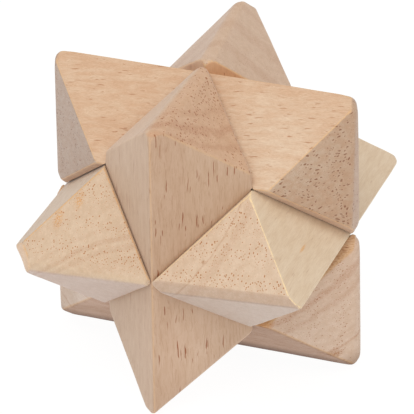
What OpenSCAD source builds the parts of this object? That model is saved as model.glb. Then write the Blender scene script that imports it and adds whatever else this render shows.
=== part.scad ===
// Six-piece wooden star burr.
//
// Six square sticks lie in three crossing pairs round one centre. Each stick has one long edge, its
// ridge, facing outwards, two 90 degree notches cut into its inner half, and ends sawn to a point.
// Every notch is filled by the stick that crosses there, so no single stick can leave on its own:
// the star opens only by sliding three sticks away from the other three along a body diagonal.

/* [Stick] */
// Side of the square stick
stick_side = 20; // [16:0.5:30]
// How far the end of a stick stands past the ridges that it passes
end_over = 1.2; // [1:0.1:2]
// Width of the flat left along the point of each end
end_flat = 2.1; // [1:0.1:3]

/* [Fit] */
// Extra depth of each notch, which lets the pieces slide
notch_play = 0.4; // [0.1:0.05:0.5]

/* [Finish] */
// Radius sanded on the four long edges of a stick
edge_radius = 0.6; // [0.2:0.1:1.2]
// Leg of the chamfer that blunts each tip
tip_cut = 0.8; // [0.3:0.1:2]
// Leg of the chamfer on the one tip that is knocked off
worn_tip_cut = 4.6; // [2:0.1:6]
// Leg of the chamfer where an end meets the inner edge
heel_cut = 1; // [0.6:0.1:1.6]

/* [Hand sawing] */
// How much the +X and -X ends of the top piece are longer than nominal
top_trim = [-0.2, -0.3]; // [-1:0.1:1.2]
// How much the +X and -X ends of the bottom piece are longer than nominal
bottom_trim = [0.6, 0]; // [-1:0.1:1.2]
// How much the +Y and -Y ends of the right piece are longer than nominal
right_trim = [0.4, -0.8]; // [-1:0.1:1.2]
// How much the +Y and -Y ends of the left piece are longer than nominal
left_trim = [0.1, -0.6]; // [-1:0.1:1.2]
// How much the upper end of the back piece is longer than nominal
back_trim = 1; // [-1:0.1:1.2]
// How much the upper end of the front piece is longer than nominal
front_trim = 0.4; // [-1:0.1:1.2]
// How much the lower ends of the back and front pieces, which the star stands on, are longer
foot_trim = -0.6; // [-1:0.1:1.2]

/* [Hidden] */
$fn = 48;

// Half the diagonal of the stick's section: the unit of the whole star
half = stick_side / sqrt(2);
// Height of a ridge above the centre of the star
ridge = 2 * half;
// Nominal distance from the centre of the star to the end of a stick
reach = ridge + end_over;
// Height of the centre of the star above the surface that it stands on
stand = reach + foot_trim;
// A margin that carries cutting shapes past what they cut
past = 2;

// Section of the stick, standing on its inner edge at the centre of the star
module section() {
    inset = stick_side - 2 * edge_radius;
    translate([0, half]) rotate(45) {
        square([stick_side, inset], center = true);
        square([inset, stick_side], center = true);
        for (x = [-1, 1], y = [-1, 1]) translate([x, y] * inset / 2) circle(edge_radius);
    }
}

// Outline seen from above the ridge: both ends come to a point, with a flat across it
module pointed_outline(end_a, end_b) {
    flat = end_flat / 2;
    side = half + past;
    polygon([
        [end_a, -flat], [end_a, flat], [end_a + flat - side, side],
        [side - flat - end_b, side], [-end_b, flat], [-end_b, -flat],
        [side - flat - end_b, -side], [end_a + flat - side, -side]
    ]);
}

// Outline seen from the side: two notches below, blunted tips above
module notched_outline(end_a, end_b, tip_a, tip_b) {
    difference() {
        polygon([
            [end_a - heel_cut, 0], [end_a, heel_cut], [end_a, ridge - tip_a], [end_a - tip_a, ridge],
            [tip_b - end_b, ridge], [-end_b, ridge - tip_b], [-end_b, heel_cut], [heel_cut - end_b, 0]
        ]);
        for (x = [-half, half]) translate([x, half + notch_play]) notch();
    }
}

// One 90 degree notch, its bottom at the origin
module notch() {
    deep = half + notch_play + past;
    polygon([[0, 0], [-deep, -deep], [deep, -deep]]);
}

// One piece of the puzzle, along X with its ridge up. The trims lengthen its +X and -X ends.
module piece(trims, tip_a = tip_cut, tip_b = tip_cut) {
    end_a = reach + trims[0];
    end_b = reach + trims[1];
    intersection() {
        rotate([90, 0, 90]) linear_extrude(2 * (reach + past), center = true) section();
        linear_extrude(ridge + past) pointed_outline(end_a, end_b);
        rotate([90, 0, 0]) linear_extrude(2 * (half + past), center = true)
            notched_outline(end_a, end_b, tip_a, tip_b);
    }
}

// Each third of a turn about the body diagonal carries X to Y, Y to Z and Z to X
module third_turn(n) {
    rotate(a = 120 * n, v = [1, 1, 1]) children();
}

module placed() {
    translate([0, 0, stand]) children();
}

// Ridge up, along X
module top_piece() {
    color([0.87, 0.70, 0.52]) placed() piece(top_trim);
}

// Ridge down, along X
module bottom_piece() {
    color([0.74, 0.60, 0.46]) placed() rotate([180, 0, 0]) piece(bottom_trim);
}

// Ridge towards +X, along Y
module right_piece() {
    color([0.85, 0.74, 0.55]) placed() third_turn(1) piece(right_trim);
}

// Ridge towards -X, along Y, with the worn tip at its -Y end
module left_piece() {
    color([0.84, 0.70, 0.53]) placed() rotate([0, 180, 0]) third_turn(1)
        piece(left_trim, tip_b = worn_tip_cut);
}

// Ridge towards +Y, upright
module back_piece() {
    color([0.76, 0.62, 0.50]) placed() third_turn(2) piece([back_trim, foot_trim]);
}

// Ridge towards -Y, upright
module front_piece() {
    color([0.77, 0.60, 0.46]) placed() rotate([0, 0, 180]) third_turn(2) piece([front_trim, foot_trim]);
}

bottom_piece();
left_piece();
front_piece();
back_piece();
right_piece();
top_piece();
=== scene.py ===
"""Looks for the wooden star burr: six sanded rubberwood sticks, each built round its CAD node."""
import math

import bmesh
import bpy
import numpy as np
from mathutils import Matrix, Vector, noise


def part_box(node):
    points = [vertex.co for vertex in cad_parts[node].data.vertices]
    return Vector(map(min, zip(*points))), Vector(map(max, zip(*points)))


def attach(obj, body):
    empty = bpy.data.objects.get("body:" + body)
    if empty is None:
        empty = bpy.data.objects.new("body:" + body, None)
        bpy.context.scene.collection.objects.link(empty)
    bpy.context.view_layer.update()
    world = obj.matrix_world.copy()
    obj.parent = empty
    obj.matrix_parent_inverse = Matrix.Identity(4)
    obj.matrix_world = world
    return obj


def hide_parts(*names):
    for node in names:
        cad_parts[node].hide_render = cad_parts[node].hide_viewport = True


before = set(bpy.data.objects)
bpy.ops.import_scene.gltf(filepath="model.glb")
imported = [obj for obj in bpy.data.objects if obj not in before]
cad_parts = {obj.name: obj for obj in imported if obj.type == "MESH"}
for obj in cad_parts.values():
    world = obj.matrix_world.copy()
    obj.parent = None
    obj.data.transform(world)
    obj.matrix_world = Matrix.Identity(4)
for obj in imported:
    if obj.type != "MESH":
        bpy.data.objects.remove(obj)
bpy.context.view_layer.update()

MM = 0.001
DIAGONAL = math.sqrt(0.5)

# Side of a stick, as in the CAD part, and the play in its notches, drawn tighter than the CAD's 0.4 mm
STICK = 20 * MM
PLAY = 0.25 * MM
# Half the diagonal of a stick's section, and the height of a ridge above the centre of the star
HALF = STICK * DIAGONAL
RIDGE = 2 * HALF
# The centre of the star, halfway up the left piece, which lies level
CENTRE = Vector((0, 0, (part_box("left_piece")[0].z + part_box("left_piece")[1].z) / 2))

# How far the rounding of a corner reaches
CORNER_REACH = 2.2 * MM
# To carry its rounding, a stick is sliced at these depths beside its edges, and this often along it
SUPPORTS = [0.12 * MM, 0.3 * MM, 0.6 * MM, 1.1 * MM, 1.8 * MM]
SLICE = 1.6 * MM
# Points this close to a cutting plane count as on it, and points this close together become one
ON_PLANE = 1e-7
WELD = 0.002 * MM
# The sanding radius varies by this share of itself, over about this length
UNEVEN = 0.45
UNEVEN_LENGTH = 5 * MM
# Rounds of moving the points onto the sanded surface, enough for them to come to rest
SANDING_ROUNDS = 12
# A corner of a face is shaded along the way out if its cosine with the face's normal is above this
ROUNDED = 0.8
# Measure of the bluntness in the middle of an edge that two faces share alike
SHARPEST = 1 - DIAGONAL
# The mouths of the notches stay crisp: their radius, and how far from them the sanding is in full
MOUTH_ROUND = 0.08 * MM
MOUTH_REACH = 0.9 * MM


def third_turn(n):
    return Matrix.Rotation(math.radians(120 * n), 4, Vector((1, 1, 1)))


def half_turn(axis):
    return Matrix.Rotation(math.pi, 4, axis)


# How each stick lies: from its own frame (length along X, ridge up) to the star's
PLACES = {
    "top": Matrix.Identity(4),
    "bottom": half_turn("X"),
    "right": third_turn(1),
    "left": half_turn("Y") @ third_turn(1),
    "back": third_turn(2),
    "front": half_turn("Z") @ third_turn(2),
}


def sawn(tip=2.1, heel=2.1, tip_drift=0.0, heel_drift=0.0, tip_round=1.1, heel_round=1.1, side_round=0.5,
         tip_cut=0.8, heel_cut=1.0):
    """How one end was sawn and sanded, in mm. Its flat is tip wide at the ridge and heel wide at the
    foot, and wanders to the stick's +Y by the drifts. The corners there and at the two sides are
    sanded to three radii, and the cuts blunt the tip and the heel."""
    return {
        "halves": {side: (tip / 2 + side * tip_drift, heel / 2 + side * heel_drift) for side in (1, -1)},
        "drifts": (tip_drift, heel_drift),
        "rounds": (tip_round, heel_round, side_round),
        "cuts": (tip_cut * MM, heel_cut * MM),
    }


# The two ends of each stick, at its own +X and -X
SAWN = {
    "top": (sawn(1.4, 4.8, -0.5, -0.4, 1.5, 0.9),
            sawn(1.9, 1.5, -0.1, -0.3, 1.1, 1.5, heel_cut=3.0)),
    "bottom": (sawn(2.1, 1.6, -0.9, 0.6, 1.1, 1.1), sawn(1.9, 1.9, 0.2, 0.9, 0.8, 0.8, tip_cut=1.9)),
    "right": (sawn(2.5, 3.6, -0.4, -0.2, 0.6, 0.6),
              sawn(2.1, 2.3, 1.3, -0.6, 0.3, 0.3, side_round=0.8, heel_cut=0.4)),
    "left": (sawn(), sawn(2.4, 0.8, 0.9, 0.1, 1.0, 0.4, tip_cut=4.6)),
    "back": (sawn(1.1, 2.5, -2.6, 0.2, 0.3, 0.7, tip_cut=0.2, heel_cut=0.4), sawn()),
    "front": (sawn(2.7, 2.2, -0.2, -0.2, 0.9, 0.6, heel_cut=0.3), sawn(2.1, 3.6, 1.9, -0.9, 0.6, 0.6)),
}
# Width of the flat across an ordinary end, which sets where its two side corners lie
USUAL_FLAT = 2 * MM
# How much higher than nominal each ridge stands, in mm
SWELL = {"top": 0.2, "bottom": 0.1, "right": 0.0, "left": -0.1, "back": 0.0, "front": 0.0}
# Radius left on the long edges of each stick, in mm
EDGES = {"top": 0.28, "bottom": 0.6, "right": 0.3, "left": 0.38, "back": 0.38, "front": 0.5}


def piece_ends(name):
    """Where the CAD stick ends: its lengths along its own +X and -X."""
    low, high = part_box(name + "_piece")
    turn = PLACES[name].to_3x3().inverted()
    xs = [(turn @ (corner - CENTRE)).x for corner in (low, high)]
    return max(xs), -min(xs)


def half_outline(end, cuts, ridge):
    """The stick's side view from the tip to the side of a notch, past the cut across its heel."""
    tip_cut, heel_cut = cuts
    # A heel cut deep enough to pass the mouth of the notch meets the side of the notch this far up
    lost = max(0, 2 * HALF + PLAY - end + heel_cut) / 2
    foot = [(end - heel_cut + lost, lost)] + ([(2 * HALF + PLAY, 0)] if lost == 0 else [])
    return [(end - tip_cut, ridge), (end, ridge - tip_cut), (end, heel_cut)] + foot


def side_outline(ends, cuts, ridge):
    """The stick seen from the side: blunted tips above, chamfered heels and two notches below."""
    apex = HALF + PLAY
    right, left = (half_outline(end, pair, ridge) for end, pair in zip(ends, cuts))
    return right[::-1] + [(-x, z) for x, z in left] + [(-HALF, apex), (0, PLAY), (HALF, apex)]


def long_planes(ridge):
    """The four long faces, each (normal, distance)."""
    planes = [(Vector((0, side * DIAGONAL, DIAGONAL)), ridge * DIAGONAL) for side in (1, -1)]
    return planes + [(Vector((0, side * DIAGONAL, -DIAGONAL)), 0.0) for side in (1, -1)]


def end_cuts(sign, end, how):
    """The two slanting cuts of one end, which leave its flat between them."""
    planes = []
    for side in (1, -1):
        tip, heel = (half * MM for half in how["halves"][side])
        normal = Vector((sign * RIDGE, side * RIDGE, heel - tip)).normalized()
        planes.append((normal, normal.dot(Vector((sign * end, side * heel, 0)))))
    return planes


def end_chamfers(sign, end, cuts, ridge):
    """The flat of one end, its blunted tip and its chamfered heel."""
    tip_cut, heel_cut = cuts
    return [
        (Vector((sign, 0, 0)), end),
        (Vector((sign * DIAGONAL, 0, DIAGONAL)), (end + ridge - tip_cut) * DIAGONAL),
        (Vector((sign * DIAGONAL, 0, -DIAGONAL)), (end - heel_cut) * DIAGONAL),
    ]


def cut(bm, normal, distance, clear=False):
    """Cuts the mesh along a plane, and closes it again where the outer side is cleared away."""
    geometry = bm.verts[:] + bm.edges[:] + bm.faces[:]
    made = bmesh.ops.bisect_plane(bm, geom=geometry, dist=ON_PLANE, plane_co=normal * distance,
                                  plane_no=normal, clear_outer=clear)
    if clear:
        edges = [g for g in made["geom_cut"] if isinstance(g, bmesh.types.BMEdge)]
        bmesh.ops.holes_fill(bm, edges=edges, sides=0)


def sharp_stick(ends, cuts, ridge, faces, others):
    """The stick with sharp edges, sliced finely beside every edge so that the edges can be sanded."""
    bm = bmesh.new()
    outline = side_outline(ends, cuts, ridge)
    rows = [[bm.verts.new((x, y, z)) for x, z in outline] for y in (-STICK, STICK)]
    bm.faces.new(rows[0])
    bm.faces.new(reversed(rows[1]))
    count = len(outline)
    for i in range(count):
        j = (i + 1) % count
        bm.faces.new((rows[0][j], rows[0][i], rows[1][i], rows[1][j]))
    bmesh.ops.recalc_face_normals(bm, faces=bm.faces[:])
    for normal, distance in faces:
        cut(bm, normal, distance, clear=True)
    notch_sides = []
    for centre in (-HALF, HALF):
        for side in (-1, 1):
            normal = Vector((side * DIAGONAL, 0, DIAGONAL))
            notch_sides.append((normal, normal.dot(Vector((centre, 0, HALF + PLAY)))))
    for depth in SUPPORTS:
        for normal, distance in faces + others:
            cut(bm, normal, distance - depth)
        for normal, distance in notch_sides:
            cut(bm, normal, distance + depth)
    for i in range(int(-ends[1] / SLICE), int(ends[0] / SLICE) + 1):
        cut(bm, Vector((1, 0, 0)), (i + 0.5) * SLICE)
    bmesh.ops.remove_doubles(bm, verts=bm.verts[:], dist=WELD)
    return bm


def sanding_radius(points, name, ends, seed):
    """Radius that the sanding leaves at each point: uneven along the edges, larger at the corners."""
    # Each stick is uneven in its own way
    offset = Vector((seed * 7.3, seed * 3.1, 0))
    uneven = np.array([noise.noise(Vector(p) / UNEVEN_LENGTH + offset) for p in points])
    radius = EDGES[name] * MM * (1 + UNEVEN * uneven)
    for sign, end, how in zip((1, -1), ends, SAWN[name]):
        blunt = how["cuts"][0] / 2
        tip_drift, heel_drift = (drift * MM for drift in how["drifts"])
        shoulder = sign * (end + USUAL_FLAT / 2 - HALF)
        corners = [(sign * (end - blunt), tip_drift, RIDGE - blunt),
                   (sign * end, heel_drift, 0),
                   (shoulder, HALF, HALF),
                   (shoulder, -HALF, HALF)]
        for corner, target in zip(corners, (*how["rounds"], how["rounds"][-1])):
            away = np.linalg.norm(points - np.array(corner), axis=1) / CORNER_REACH
            radius += (target - EDGES[name]) * MM * np.exp(-away ** 2)
    inside = points[:, 2] - HALF - PLAY + np.abs(np.abs(points[:, 0]) - HALF)
    share = np.clip(inside * DIAGONAL / MOUTH_REACH, 0, 1) ** 2
    return MOUTH_ROUND + (radius - MOUTH_ROUND) * share


def surface(points, radius, normals, distances):
    """How far each point stands outside the sanded stick, the way out there, and how worn it is: 1 in
    the middle of an edge whose faces turn by 60 degrees or more, less where they turn less."""
    depth = points @ normals.T - distances
    ways = np.broadcast_to(normals, (len(points), *normals.shape))
    for centre in (-HALF, HALF):
        along = points[:, 0] - centre
        notch = (HALF + PLAY - points[:, 2] - np.abs(along)) * DIAGONAL
        way = np.stack([-np.sign(along), np.zeros(len(points)), -np.ones(len(points))], 1) * DIAGONAL
        depth = np.concatenate([depth, notch[:, None]], 1)
        ways = np.concatenate([ways, way[:, None, :]], 1)
    near = np.maximum(depth + radius[:, None], 0)
    size = np.linalg.norm(near, axis=1)
    way_out = np.einsum("pi,pij->pj", near, ways) / size[:, None]
    bluntness = (1 - near.max(1) / size) / SHARPEST
    turn = np.clip(7 - 4 * (way_out ** 2).sum(1), 0, 1)
    return size - radius, way_out, np.clip(bluntness, 0, 1) * turn


def sand(bm, planes, radius):
    """Moves the points of the sharp stick onto the sanded one. Returns each point's way out and wear."""
    normals = np.array([p[0] for p in planes])
    distances = np.array([p[1] for p in planes])
    points = np.array([v.co for v in bm.verts])
    for _ in range(SANDING_ROUNDS):
        outside, way, _ = surface(points, radius, normals, distances)
        points -= (outside / (way ** 2).sum(1))[:, None] * way
    _, way, wear = surface(points, radius, normals, distances)
    for vertex, point in zip(bm.verts, points):
        vertex.co = point
    return way / np.linalg.norm(way, axis=1)[:, None], wear


def build_stick(name, seed):
    """One sanded stick in its own frame, with an attribute that says how worn each point is."""
    ends = piece_ends(name)
    cuts = [how["cuts"] for how in SAWN[name]]
    ridge = RIDGE + SWELL[name] * MM
    faces = long_planes(ridge)
    others = []
    for sign, end, how in zip((1, -1), ends, SAWN[name]):
        faces += end_cuts(sign, end, how)
        others += end_chamfers(sign, end, how["cuts"], ridge)
    bm = sharp_stick(ends, cuts, ridge, faces, others)
    points = np.array([v.co for v in bm.verts])
    ways, wear = sand(bm, faces + others, sanding_radius(points, name, ends, seed))
    mesh = bpy.data.meshes.new(name + "_stick")
    bm.to_mesh(mesh)
    bm.free()
    mesh.attributes.new("wear", "FLOAT", "POINT").data.foreach_set("value", wear)
    mesh.shade_smooth()
    normals = []
    for face in mesh.polygons:
        flat = np.array(face.normal)
        for corner in face.vertices:
            normals.append(ways[corner] if ways[corner] @ flat > ROUNDED else flat)
    mesh.normals_split_custom_set(normals)
    stick = bpy.data.objects.new(name + "_stick", mesh)
    bpy.context.scene.collection.objects.link(stick)
    stick.matrix_world = Matrix.Translation(CENTRE) @ PLACES[name]
    return stick


# ---------------------------------------------------------------- material

def node(tree, kind, inputs=None, out=0, **settings):
    """Adds a shader node, sets it up, and returns one of its outputs. Inputs are values or outputs."""
    made = tree.nodes.new("ShaderNode" + kind)
    for key, value in settings.items():
        setattr(made, key, value)
    for key, value in (inputs or {}).items():
        if isinstance(value, bpy.types.NodeSocket):
            tree.links.new(value, made.inputs[key])
        else:
            made.inputs[key].default_value = value
    return made.outputs[out]


def stretched(tree, vector, sizes):
    """The vector, in mm, divided by a size along each axis."""
    scale = tuple(1 / s for s in sizes)
    return node(tree, "VectorMath", {0: vector, 1: scale}, operation="MULTIPLY")


def bent(tree, vector, sizes, amount):
    """The vector, wandering sideways by up to about half the amount over the given sizes."""
    bend = node(tree, "TexNoise", {"Vector": stretched(tree, vector, sizes), "Detail": 0.0}, out="Color")
    bend = node(tree, "VectorMath", {0: bend, 1: (0.5, 0.5, 0.5)}, operation="SUBTRACT")
    bend = node(tree, "VectorMath", {0: bend, 1: (0, amount, amount)}, operation="MULTIPLY")
    return node(tree, "VectorMath", {0: vector, 1: bend}, operation="ADD")


def remap(tree, value, low, high, to_low=0.0, to_high=1.0, smooth=False):
    return node(tree, "MapRange", {
        "Value": value, "From Min": low, "From Max": high, "To Min": to_low, "To Max": to_high,
    }, interpolation_type="SMOOTHSTEP" if smooth else "LINEAR")


def combine(tree, operation, a, b):
    return node(tree, "Math", {0: a, 1: b}, operation=operation)


def mix_colour(tree, factor, a, b, blend="MIX"):
    """Mixes two colours by a factor. The factor is an output, and each colour an output or three values."""
    made = tree.nodes.new("ShaderNodeMix")
    made.data_type = "RGBA"
    made.blend_type = blend
    factor_in, a_in, b_in = made.inputs[0], made.inputs[6], made.inputs[7]
    tree.links.new(factor, factor_in)
    for socket, value in ((a_in, a), (b_in, b)):
        if isinstance(value, bpy.types.NodeSocket):
            tree.links.new(value, socket)
        else:
            socket.default_value = (*value, 1)
    return made.outputs[2]


# Sizes in mm, along and across the grain, of what is seen in the wood
GROWTH_SIZE = (40, 12, 12)
RIPPLE_SIZE = (7, 2.6, 2.6)
BLOTCH_SIZE = (20, 5, 5)
FIBRE_SIZE = (7, 0.3, 0.3)
STREAK_SIZE = (26, 0.8, 0.8)
BROKEN_SIZE = (1.3, 1.3, 1.3)
# Tints that darken the wood
BAND_TINT = (0.82, 0.70, 0.62)
RING_TINT = (0.74, 0.56, 0.46)
FIBRE_TINT = (0.74, 0.64, 0.56)
# Tint of the faint bloom on sanded wood, and its roughness, least and most
SHEEN_TINT = (0.86, 0.90, 1.0)
ROUGHNESS = (0.52, 0.68)
# Depth of the relief at the pores, and what share of it the fibres have
PORE_DEPTH = 0.06 * MM
FIBRE_SHARE = 0.4
# Tints of the single marks, one of them painted shade, and of the pale halo round the pores of the ends
ORANGE = (1.0, 0.72, 0.42)
BROWN = (0.62, 0.42, 0.28)
SAP = (1.09, 1.21, 1.32)
PALE = (1.25, 1.32, 1.42)
# Painted shade for the band along the bottom stick's ridge, next to the floor
FLOOR_CONTACT_SHADE = (0.34, 0.26, 0.20)
HALO = (1.07, 1.08, 1.10)
# How irregularly the vessels are spread, from 0 in rows to 1 at random
SCATTER = 0.85
# Radius of a pore in vessel spacings: least and most on a long face, and least on an end
FACE_PORE = (0.12, 0.26)
END_PORE = 0.24


def clean_colour(tree, growth, grain, fibre, broken, end_grain, look):
    """Colour of the wood before its pores: tones, blotches, growth bands and rings, fibres, streaks."""
    # Growth rings round a pith that lies outside the stick
    across = node(tree, "VectorMath", {0: growth, 1: look["pith"]}, operation="SUBTRACT")
    across = node(tree, "VectorMath", {0: across, 1: (0, 1, 1)}, operation="MULTIPLY")
    ring = node(tree, "VectorMath", {0: across}, out="Value", operation="LENGTH")
    bands = node(tree, "TexNoise", {"W": ring, "Scale": 0.24, "Detail": 1.0, "Roughness": 0.5},
                 noise_dimensions="1D")
    blotch = node(tree, "TexNoise", {"Vector": stretched(tree, grain, BLOTCH_SIZE), "Detail": 2.0})
    streak = node(tree, "TexNoise", {"Vector": stretched(tree, grain, STREAK_SIZE), "Detail": 2.0})

    colour = mix_colour(tree, end_grain, look["tone"], look["end_tone"])
    shade = remap(tree, blotch, 0.35, 0.65)
    colour = mix_colour(tree, shade, colour, look["second_tone"], "MULTIPLY")
    shade = remap(tree, bands, 0.45, 0.72, 0.0, look["bands"], smooth=True)
    colour = mix_colour(tree, shade, colour, BAND_TINT, "MULTIPLY")
    for radius, width, amount in look["rings"]:
        off_ring = node(tree, "Math", {0: combine(tree, "SUBTRACT", ring, radius)}, operation="ABSOLUTE")
        shade = remap(tree, off_ring, width * 0.2, width, amount, 0.0, smooth=True)
        shade = combine(tree, "MULTIPLY", shade, remap(tree, end_grain, 0.0, 1.0, 0.3, 1.0))
        shade = combine(tree, "MULTIPLY", shade, remap(tree, broken, 0.35, 0.6, 0.4, 1.0))
        colour = mix_colour(tree, shade, colour, RING_TINT, "MULTIPLY")
    shade = remap(tree, fibre, 0.35, 0.7, 0.0, look["fibres"])
    colour = mix_colour(tree, shade, colour, FIBRE_TINT, "MULTIPLY")
    shade = remap(tree, streak, 0.52, 0.7, 0.0, look["streaks"])
    shade = combine(tree, "MULTIPLY", shade, combine(tree, "SUBTRACT", 1.0, end_grain))
    return mix_colour(tree, shade, colour, look["streak_tone"], "MULTIPLY")


def vessel_pores(tree, grain, end_grain, look):
    """Vessels are long thin ellipsoids, so that an end shows dots and a long face shows dashes.
    Returns how much of a pore there is at a point, and how much of the halo round one."""
    vessels = stretched(tree, grain, look["vessel"])
    spread = {"Vector": vessels, "Scale": 1.0, "Randomness": SCATTER}
    away = node(tree, "TexVoronoi", spread)
    chance = node(tree, "SeparateColor", {0: node(tree, "TexVoronoi", spread, out="Color")})
    on_face = remap(tree, chance, 0.0, 1.0, *FACE_PORE)
    on_end = remap(tree, chance, 0.0, 1.0, END_PORE, look["widest"])
    reach = combine(tree, "DIVIDE", away, node(tree, "Mix", {0: end_grain, 2: on_face, 3: on_end}))
    halo = remap(tree, reach, 1.1, 1.8, 1.0, 0.0)
    pore = remap(tree, reach, 0.5, 1.0, 1.0, 0.0, smooth=True)
    on_face = remap(tree, chance, look["sparse"], look["sparse"] + 0.5, 0.0, look["dashes"])
    on_end = remap(tree, chance, 0.0, 0.6, 0.3, look["dots"])
    strength = node(tree, "Mix", {0: end_grain, 2: on_face, 3: on_end})
    return combine(tree, "MULTIPLY", pore, strength), halo


def tint_faces_and_paint_light(tree, facing, colour, pore, look):
    """Tints faces picked out by the way they face and clears their pores; many tints are painted light:
    shade on undersides, grey sheen on edge-on end cuts, warm bounce light in shade. Returns the colour,
    the pores, and the share of the burnishing left."""
    unworn = 1.0
    for way, tint, smooth in look["faces"]:
        toward = node(tree, "VectorMath", {0: facing, 1: Vector(way).normalized()}, out="Value",
                      operation="DOT_PRODUCT")
        toward = remap(tree, toward, 0.8, 0.95, smooth=True)
        colour = mix_colour(tree, toward, colour, tint, "MULTIPLY")
        clear = combine(tree, "SUBTRACT", 1.0, combine(tree, "MULTIPLY", toward, smooth))
        pore = combine(tree, "MULTIPLY", pore, clear)
        unworn = combine(tree, "MULTIPLY", unworn, clear)
    return colour, pore, unworn


def add_marks(tree, place, broken, colour, look):
    """Single marks, each a soft spot at a place on the stick, broken up more or less: stains, and a band of
    painted shade.
    """
    for spot, size, tint, amount, rough in look["marks"]:
        from_spot = node(tree, "VectorMath", {0: place, 1: spot}, operation="SUBTRACT")
        from_spot = node(tree, "VectorMath", {0: stretched(tree, from_spot, size)}, out="Value",
                         operation="LENGTH")
        shade = remap(tree, from_spot, 0.2, 1.0, amount, 0.0, smooth=True)
        shade = combine(tree, "MULTIPLY", shade, remap(tree, broken, 0.4, 0.6, 1 - rough, 1.0))
        colour = mix_colour(tree, shade, colour, tint, "MULTIPLY")
    return colour


def wood(name, look):
    """Solid rubberwood, with its grain along the object's X: rings, fibres, vessel pores, worn edges."""
    material = bpy.data.materials.new(name)
    material.use_nodes = True
    tree = material.node_tree
    shader = tree.nodes["Principled BSDF"]

    local = node(tree, "TexCoord", out="Object")
    facing = node(tree, "TexCoord", out="Normal")
    # From metres to mm
    place = node(tree, "Mapping", {"Vector": local, "Scale": (1000, 1000, 1000)})
    grain = node(tree, "Mapping", {"Vector": place, "Location": look["shift"], "Rotation": look["lean"]})
    growth = bent(tree, grain, GROWTH_SIZE, look["bend"])
    grain = bent(tree, growth, RIPPLE_SIZE, look["ripple"])
    fibre = node(tree, "TexNoise", {"Vector": stretched(tree, grain, FIBRE_SIZE), "Detail": 2.0,
                                    "Roughness": 0.6})
    broken = node(tree, "TexNoise", {"Vector": stretched(tree, place, BROKEN_SIZE), "Detail": 2.0})

    # 1 on the sawn ends, 0 on the long faces
    along = node(tree, "Math", {0: node(tree, "SeparateXYZ", {0: facing}, out="X")}, operation="ABSOLUTE")
    end_grain = remap(tree, along, 0.35, 0.6, smooth=True)

    colour = clean_colour(tree, growth, grain, fibre, broken, end_grain, look)
    pore, halo = vessel_pores(tree, grain, end_grain, look)
    # Face tints, many of them painted shade, grey sheen or warm bounce light
    colour, pore, unworn = tint_faces_and_paint_light(tree, facing, colour, pore, look)
    colour = add_marks(tree, place, broken, colour, look)
    colour = mix_colour(tree, combine(tree, "MULTIPLY", halo, end_grain), colour, HALO, "MULTIPLY")
    dark = mix_colour(tree, end_grain, look["dash_tone"], look["dot_tone"])
    colour = mix_colour(tree, pore, colour, dark, "MULTIPLY")

    # Sanded edges, where the wood is burnished to orange in broken lines
    wear = node(tree, "Attribute", attribute_name="wear", out="Fac")
    rim = remap(tree, wear, 0.2, 0.8, 0.0, look["burnish"], smooth=True)
    rim = combine(tree, "MULTIPLY", rim, remap(tree, broken, 0.35, 0.5))
    rim = combine(tree, "MULTIPLY", rim, unworn)
    colour = mix_colour(tree, rim, colour, look["rim"])
    tree.links.new(colour, shader.inputs["Base Color"])

    rough = remap(tree, fibre, 0.3, 0.7, *ROUGHNESS)
    tree.links.new(rough, shader.inputs["Roughness"])
    shader.inputs["Specular IOR Level"].default_value = look["gloss"]
    shader.inputs["Sheen Weight"].default_value = look["sheen"]
    shader.inputs["Sheen Roughness"].default_value = 0.45
    shader.inputs["Sheen Tint"].default_value = (*SHEEN_TINT, 1)
    height = combine(tree, "MULTIPLY", fibre, FIBRE_SHARE)
    height = combine(tree, "SUBTRACT", height, pore)
    bump = node(tree, "Bump", {"Height": height, "Strength": 0.5, "Distance": PORE_DEPTH})
    tree.links.new(bump, shader.inputs["Normal"])
    return material


# How a stick looks unless LOOKS says otherwise, with lengths in mm and places in the stick's own frame.
# lean: turn of the grain about each axis, in radians. pith: the centre of the rings, across the stick.
# vessel: spacing along and across the grain. widest: largest radius of a pore on an end, in spacings.
# sparse: share of the vessels that leave no dash. rings: each (radius, width, amount).
# faces: each (way it faces, tint, share of its pores and its burnished rim that is cleared away).
# Many of these tints are painted light: shade, grey sheen or warm bounce light.
# marks: each (place, size, tint, amount, how broken up); a stain, or on the bottom stick painted shade.
LOOK = {
    "tone": (0.67, 0.46, 0.30),
    "end_tone": (0.67, 0.46, 0.30),
    "second_tone": (0.94, 0.91, 0.87),
    "streak_tone": (0.82, 0.73, 0.66),
    "dash_tone": (0.55, 0.34, 0.24),
    "dot_tone": (0.50, 0.34, 0.24),
    "rim": (0.74, 0.47, 0.24),
    "burnish": 0.8,
    "lean": (0, 0, 0),
    "bend": 1.2,
    "ripple": 0.25,
    "pith": (30, -40),
    "vessel": (4.0, 0.46, 0.46),
    "widest": 0.36,
    "sparse": 0.3,
    "dashes": 1.0,
    "dots": 1.0,
    "bands": 0.3,
    "rings": [],
    "fibres": 0.4,
    "streaks": 0.3,
    "faces": [],
    "marks": [],
    "gloss": 0.5,
    "sheen": 0.25,
}

# ---------------------------------------------------------------- the six sticks

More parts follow.
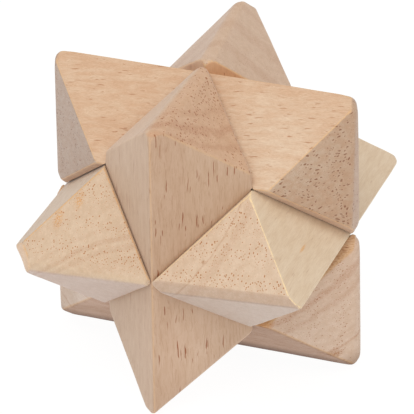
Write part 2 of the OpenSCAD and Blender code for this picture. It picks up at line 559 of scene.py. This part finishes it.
LOOKS = {
    "top": {"tone": (0.71, 0.515, 0.36), "end_tone": (0.57, 0.40, 0.275), "second_tone": (0.93, 0.85, 0.79),
            "ripple": 0.4, "widest": 0.44, "vessel": (5.0, 0.5, 0.5), "sparse": -0.1,
            "dash_tone": (0.72, 0.51, 0.39), "lean": (0, 0.08, -0.08), "bands": 0.1, "fibres": 0.7,
            # The tint toward (-1, -1, 0) is a painted cool grey sheen on that end cut
            "faces": [((-1, -1, 0), (0.90, 0.99, 1.14), 0.2)],
            "marks": [((13, -10, 20), (22, 16, 16), SAP, 0.8, 0.2)]},
    "bottom": {"tone": (0.70, 0.49, 0.32), "end_tone": (0.72, 0.55, 0.43), "dots": 0.8, "bands": 0.2,
               "dot_tone": (0.58, 0.38, 0.26), "vessel": (4.0, 0.42, 0.42), "streaks": 1.6,
               "streak_tone": (0.78, 0.64, 0.54), "burnish": 0.3, "gloss": 0.1, "sheen": 0.1,
               "pith": (24, -14), "rings": [(27, 0.9, 0.3), (30, 1.2, 0.6), (33, 0.9, 0.3), (42.1, 0.4, 0.6)],
               # The tint toward (0, 1, 1) is painted shade on the underside, by the floor
               "faces": [((0, 1, 1), (0.68, 0.65, 0.71), 0.5), ((-1, 1, 0), (0.92, 0.96, 1.00), 0.3)],
               "marks": [((27, 4, 24), (3.2, 2.2, 1.3), BROWN, 1.0, 0.7),
                         ((17, 14, 14), (3, 1.6, 1.6), ORANGE, 0.8, 0.7),
                         # Painted shade along the ridge, next to the floor
                         ((0, 0, 28.5), (60, 6, 6), FLOOR_CONTACT_SHADE, 1.0, 0.1),
                         # Lightens a patch of the underside near the -X end, and the painted shade there
                         ((-19.5, 11, 17), (10, 8, 8), PALE, 0.8, 0.1)]},
    "right": {"tone": (0.77, 0.62, 0.45), "end_tone": (0.685, 0.53, 0.395), "sparse": 0.8,
              "vessel": (4.0, 0.42, 0.42), "widest": 0.42, "dot_tone": (0.64, 0.39, 0.21),
              "rim": (0.88, 0.68, 0.40), "burnish": 1.0, "bend": 0.6, "ripple": 0.1, "bands": 0.15,
              "pith": (23, -20), "rings": [(34.8, 0.25, 0.5), (36.5, 1.2, 0.3)],
              # The tint toward (-1, -1, 0) is painted shade and grey sheen on the underside
              "faces": [((-1, -1, 0), (0.85, 0.86, 0.93), 0.9), ((-1, 0, 0), (0.84, 0.80, 0.80), 0.8)],
              "marks": [((-15, 4.3, 24), (2.2, 0.4, 0.4), ORANGE, 1.0, 0.4),
                        ((-25.4, 4.3, 8.8), (2.0, 0.4, 0.4), BROWN, 0.9, 0.3)]},
    "left": {"tone": (0.66, 0.505, 0.355), "end_tone": (0.67, 0.515, 0.375), "dot_tone": (0.68, 0.42, 0.24),
             "vessel": (4.0, 0.42, 0.42), "bend": 0.6, "ripple": 0.1, "bands": 0.2,
             "pith": (29, -1), "rings": [(34, 0.7, 0.3), (35.3, 0.6, 0.4), (37, 0.5, 0.15)],
             "burnish": 1.0, "rim": (0.74, 0.42, 0.17),
             # The tint toward (-1, 1, 0) is painted shade on the underside
             "faces": [((-1, 1, 0), (0.90, 0.90, 1.01), 0.9), ((-1, 0, 0), (1.04, 1.04, 1.02), 0.5),
                       ((-1, 0, 1), (1.15, 1.08, 1.00), 1.0)],
             "marks": [((-23.2, -6.8, 20), (2.8, 2.8, 1.2), ORANGE, 1.0, 0.9),
                       ((-20.3, -9.6, 17), (2.6, 2.6, 1.2), ORANGE, 1.0, 0.9)]},
    "back": {"tone": (0.62, 0.45, 0.31), "end_tone": (0.65, 0.47, 0.34), "dots": 0.4,
             # Both tints are painted warm bounce light on the shaded lower long faces
             "faces": [((0, 1, -1), (1.20, 0.98, 0.80), 0.0), ((0, -1, -1), (1.10, 0.96, 0.84), 0.0)]},
    "front": {"tone": (0.61, 0.423, 0.293), "end_tone": (0.635, 0.415, 0.27), "vessel": (9.0, 0.5, 0.5),
              "sparse": 0.4, "dashes": 1.9, "streaks": 0.8, "burnish": 0.35, "dash_tone": (0.58, 0.30, 0.16),
              "fibres": 0.2, "dot_tone": (0.58, 0.37, 0.22), "widest": 0.42,
              "bands": 0.1, "pith": (21, 3), "rings": [(27, 0.8, 0.3), (30, 1.2, 0.6), (32.5, 0.8, 0.4)],
              # The tint toward (1, 1, 0) is a painted grey sheen on that end cut, seen edge-on
              "faces": [((0, 1, 1), (1.00, 1.03, 1.03), 0.7), ((1, 1, 0), (1.03, 1.13, 1.20), 0.7)],
              "marks": [((-16, -5, 24), (11, 10, 10), PALE, 0.5, 0.2)]},
}

# Each stick shows another stretch of the wood, this far on from the one before, in mm
STRETCH = Vector((91, 17, 5))

for seed, name in enumerate(PLACES):
    stick = build_stick(name, seed)
    look = {**LOOK, **LOOKS[name], "shift": seed * STRETCH}
    look["pith"] = (0, look["shift"][1] + look["pith"][0], look["shift"][2] + look["pith"][1])
    stick.data.materials.append(wood(name + "_wood", look))
    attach(stick, name)
    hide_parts(name + "_piece")

# ---------------------------------------------------------------- floor, lights and camera

# Half the side of the floor, in metres
FLOOR = 3.0
floor_mesh = bpy.data.meshes.new("floor")
floor_corners = [(-FLOOR, -FLOOR, 0), (FLOOR, -FLOOR, 0), (FLOOR, FLOOR, 0), (-FLOOR, FLOOR, 0)]
floor_mesh.from_pydata(floor_corners, [], [(0, 1, 2, 3)])
floor = bpy.data.objects.new("floor", floor_mesh)
bpy.context.scene.collection.objects.link(floor)
floor_material = bpy.data.materials.new("floor")
floor_material.use_nodes = True
shader = floor_material.node_tree.nodes["Principled BSDF"]
shader.inputs["Base Color"].default_value = (0.08, 0.08, 0.08, 1)
shader.inputs["Roughness"].default_value = 0.9
shader.inputs["Specular IOR Level"].default_value = 0.0
shader.inputs["Emission Color"].default_value = (1, 1, 1, 1)
shader.inputs["Emission Strength"].default_value = 0.95
floor_mesh.materials.append(floor_material)

world = bpy.data.worlds.new("studio")
world.use_nodes = True
world.node_tree.nodes["Background"].inputs["Color"].default_value = (1, 1, 1, 1)
world.node_tree.nodes["Background"].inputs["Strength"].default_value = 0.6
bpy.context.scene.world = world


def area_light(name, place, size, power, colour):
    data = bpy.data.lights.new(name, "AREA")
    data.size = size
    data.energy = power
    data.color = colour
    light = bpy.data.objects.new(name, data)
    bpy.context.scene.collection.objects.link(light)
    light.location = CENTRE + Vector(place)
    light.rotation_euler = (-Vector(place)).to_track_quat("-Z", "Y").to_euler()


area_light("key", (0.05, -0.45, 0.9), 0.9, 6.0, (1.0, 0.95, 0.87))

# Where the camera stands as seen from the centre of the star, its roll, and its focal length in mm
AZIMUTH = math.radians(20.3)
ELEVATION = math.radians(29.4)
ROLL = math.radians(-0.55)
DISTANCE = 648.8 * MM
LENS = 304.3
# How far the camera stands to the right of and above the line to the centre of the star
ASIDE = 0.2 * MM
ABOVE = 0.35 * MM

back = Vector((math.sin(AZIMUTH) * math.cos(ELEVATION), -math.cos(AZIMUTH) * math.cos(ELEVATION),
               math.sin(ELEVATION)))
across = Vector((math.cos(AZIMUTH), math.sin(AZIMUTH), 0))
up = back.cross(across)
right = across * math.cos(ROLL) + up * math.sin(ROLL)
up = back.cross(right)
camera_data = bpy.data.cameras.new("camera")
camera_data.sensor_width = 36
camera_data.lens = LENS
camera = bpy.data.objects.new("camera", camera_data)
bpy.context.scene.collection.objects.link(camera)
place = CENTRE + back * DISTANCE + right * ASIDE + up * ABOVE
camera.matrix_world = Matrix.Translation(place) @ Matrix((right, up, back)).transposed().to_4x4()
bpy.context.scene.camera = camera
bpy.context.scene.view_settings.view_transform = "Standard"
